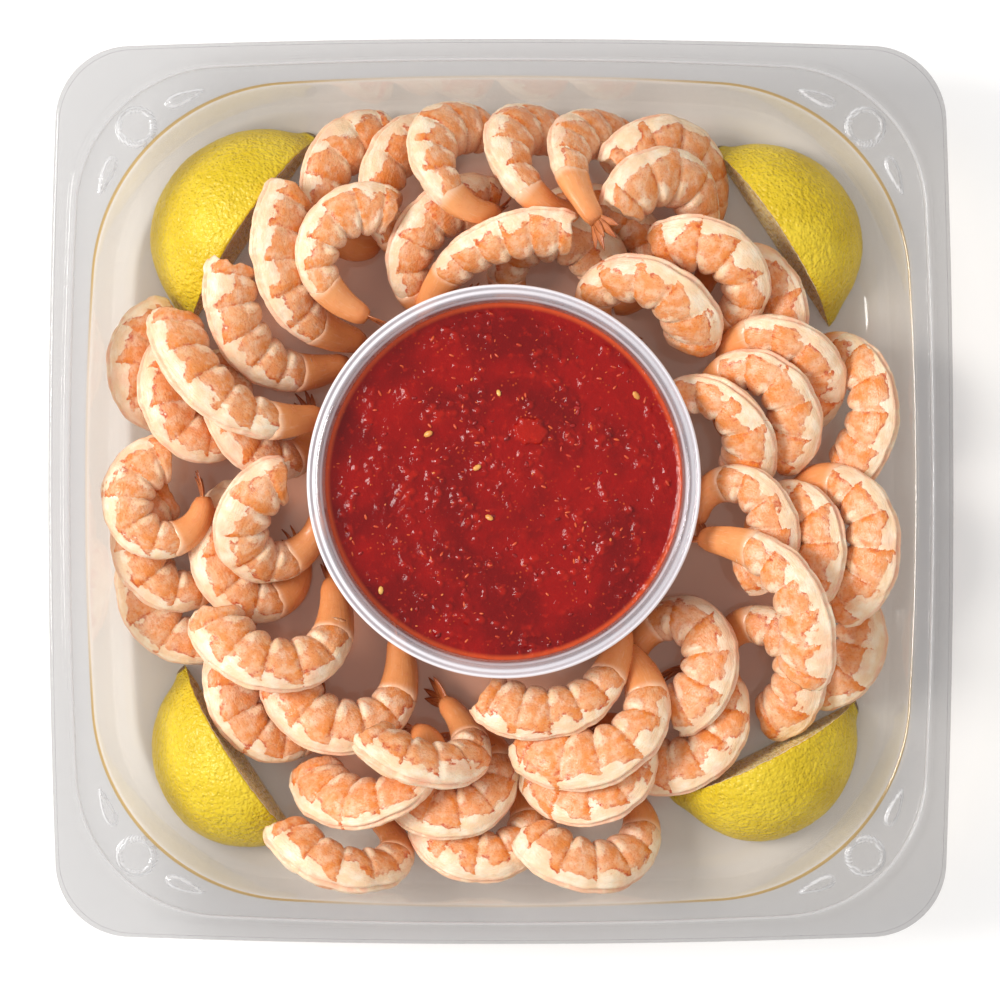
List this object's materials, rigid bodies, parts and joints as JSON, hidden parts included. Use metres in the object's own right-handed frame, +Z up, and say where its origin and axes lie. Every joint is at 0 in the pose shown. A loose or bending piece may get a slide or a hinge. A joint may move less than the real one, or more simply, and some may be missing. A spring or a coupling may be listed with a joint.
{
  "type": "shrimp cocktail platter",
  "caption": "Clear square tray of peeled, tail-on cooked shrimp around a clear cup of red cocktail sauce, with lemon wedges in the corners.",
  "frame": {"origin": "centre of the tray's underside, on the surface it rests on", "axes": "+Z up; +X and +Y along the tray's sides, with the sauce cup in the middle"},
  "size_m": [0.3058, 0.3058, 0.0592],
  "materials": {
    "clear_tray": "clear thin plastic, glossy",
    "clear_cup": "clear thin plastic, glossy",
    "cocktail_sauce": "wet, glossy, with pulp and seeds",
    "lemon": "waxy, pored rind and wet flesh",
    "cooked_shrimp": "moist, satin, cream with orange patches"
  },
  "bodies": {
    "root": {"cup": "clear_cup", "lemon_back_left": "lemon", "lemon_back_right": "lemon", "lemon_front_left": "lemon", "lemon_front_right": "lemon", "sauce": "cocktail_sauce", "shrimp_01_curl": "cooked_shrimp", "shrimp_02_curl": "cooked_shrimp", "shrimp_03_open": "cooked_shrimp", "shrimp_04_open": "cooked_shrimp", "shrimp_05_open": "cooked_shrimp", "shrimp_06_hook": "cooked_shrimp", "shrimp_07_arch": "cooked_shrimp", "shrimp_08_long": "cooked_shrimp", "shrimp_09_arch": "cooked_shrimp", "shrimp_10_arch": "cooked_shrimp", "shrimp_11_arch": "cooked_shrimp", "shrimp_12_arch": "cooked_shrimp", "shrimp_13_open": "cooked_shrimp", "shrimp_14_hook": "cooked_shrimp", "shrimp_15_curl": "cooked_shrimp", "shrimp_16_arch": "cooked_shrimp", "shrimp_17_curl": "cooked_shrimp", "shrimp_18_curl": "cooked_shrimp", "shrimp_19_curl": "cooked_shrimp", "shrimp_20_arch": "cooked_shrimp", "shrimp_21_curl": "cooked_shrimp", "shrimp_22_arch": "cooked_shrimp", "shrimp_23_curl": "cooked_shrimp", "shrimp_24_curl": "cooked_shrimp", "shrimp_25_curl": "cooked_shrimp", "shrimp_26_curl": "cooked_shrimp", "shrimp_27_arch": "cooked_shrimp", "shrimp_28_open": "cooked_shrimp", "shrimp_29_ring": "cooked_shrimp", "shrimp_30_curl": "cooked_shrimp", "shrimp_31_curl": "cooked_shrimp", "shrimp_32_open": "cooked_shrimp", "shrimp_33_hook": "cooked_shrimp", "shrimp_34_curl": "cooked_shrimp", "shrimp_35_arch": "cooked_shrimp", "shrimp_36_arch": "cooked_shrimp", "shrimp_37_curl": "cooked_shrimp", "shrimp_38_curl": "cooked_shrimp", "shrimp_39_hook": "cooked_shrimp", "shrimp_40_arch": "cooked_shrimp", "shrimp_41_arch": "cooked_shrimp", "shrimp_42_hook": "cooked_shrimp", "shrimp_43_arch": "cooked_shrimp", "shrimp_44_hook": "cooked_shrimp", "shrimp_45_ring": "cooked_shrimp", "shrimp_46_curl": "cooked_shrimp", "shrimp_47_arch": "cooked_shrimp", "shrimp_48_ring": "cooked_shrimp", "shrimp_49_curl": "cooked_shrimp", "shrimp_50_arch": "cooked_shrimp", "tray": "clear_tray"}
  },
  "joints": []
}
